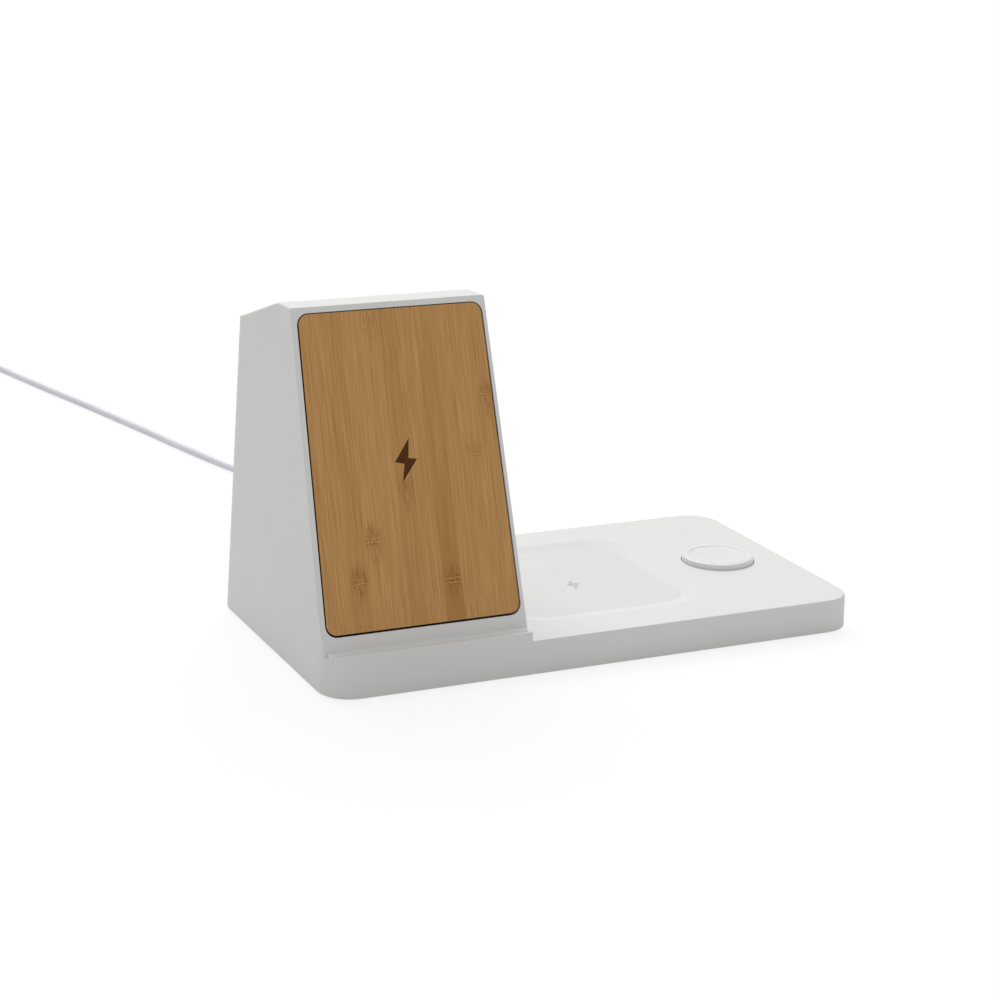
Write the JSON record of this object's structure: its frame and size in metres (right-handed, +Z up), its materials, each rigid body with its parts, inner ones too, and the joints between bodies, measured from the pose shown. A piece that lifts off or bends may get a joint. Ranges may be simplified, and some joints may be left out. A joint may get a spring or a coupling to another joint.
{
  "type": "wireless charger",
  "caption": "Wireless charging stand: leaning phone rest faced in bamboo, flat charging tray, small round charging puck, open organiser well and a corded USB plug.",
  "frame": {"origin": "on the table under the middle of the base, level with the undersides of the feet", "axes": "+X to the right along the base's front edge, from the tower's side to the puck's side; +Y to the back, the way the cord leaves; +Z up"},
  "size_m": [0.3376, 0.7391, 0.156],
  "materials": {
    "white_plastic": "fine matte white moulded plastic with sparse dark specks",
    "cover_plastic": "matte off-white moulded plastic",
    "bamboo": "smooth lacquered bamboo in vertical strips",
    "adhesive": "black double-sided adhesive sheet",
    "grey_rubber": "soft matte grey rubber",
    "zinc_steel": "zinc-plated steel",
    "copper_coil": "wound copper wire",
    "ferrite": "dull dark sintered ferrite",
    "inner_plastic": "dark grey moulded plastic",
    "magnet": "nickel-plated magnet",
    "board": "green circuit board",
    "inductor": "grey moulded inductor",
    "chip": "black epoxy chip package",
    "header": "off-white connector plastic",
    "lead_sleeve": "soft sleeved twin lead",
    "stainless": "smooth stainless steel shell",
    "tongue_black": "black contact tongue",
    "cord_white": "smooth white cord jacket",
    "plug_white": "smooth white moulded plug"
  },
  "bodies": {
    "root": {"bamboo_panel": "bamboo", "board_screw_1": "zinc_steel", "board_screw_2": "zinc_steel", "bottom_cover": "cover_plastic", "bracket_screw_1": "zinc_steel", "bracket_screw_2": "zinc_steel", "bracket_screw_3": "zinc_steel", "bracket_screw_4": "zinc_steel", "charging_puck": "white_plastic", "controller_chip": "chip", "cord_coil": "cord_white", "cord_run": "cord_white", "cord_tail": "cord_white", "cover_screw_1": "zinc_steel", "cover_screw_2": "zinc_steel", "cover_screw_3": "zinc_steel", "cover_screw_4": "zinc_steel", "cover_screw_5": "zinc_steel", "cover_screw_6": "zinc_steel", "housing": "white_plastic", "lead_header": "header", "main_board": "board", "panel_adhesive": "adhesive", "phone_coil_bracket": "inner_plastic", "phone_coil_lower": "copper_coil", "phone_coil_lower_lead": "lead_sleeve", "phone_coil_upper": "copper_coil", "phone_coil_upper_lead": "lead_sleeve", "phone_ferrite": "ferrite", "power_inductor_1": "inductor", "power_inductor_2": "inductor", "power_inductor_3": "inductor", "puck_board": "board", "puck_coil": "copper_coil", "puck_ferrite": "ferrite", "puck_lead": "lead_sleeve", "puck_magnet": "magnet", "puck_retainer": "inner_plastic", "retainer_screw_1": "zinc_steel", "retainer_screw_2": "zinc_steel", "retainer_screw_3": "zinc_steel", "rubber_foot_1": "grey_rubber", "rubber_foot_2": "grey_rubber", "rubber_foot_3": "grey_rubber", "rubber_foot_4": "grey_rubber", "tray_coil": "copper_coil", "tray_coil_holder": "inner_plastic", "tray_coil_lead": "lead_sleeve", "tray_ferrite": "ferrite", "tray_holder_screw_1": "zinc_steel", "tray_holder_screw_2": "zinc_steel", "usb_a_plug_body": "plug_white", "usb_a_plug_shell": "stainless", "usb_a_tongue": "tongue_black", "usb_c_plug_body": "plug_white", "usb_c_plug_shell": "stainless", "usb_socket_shell": "stainless", "usb_socket_tongue": "tongue_black"}
  },
  "joints": []
}
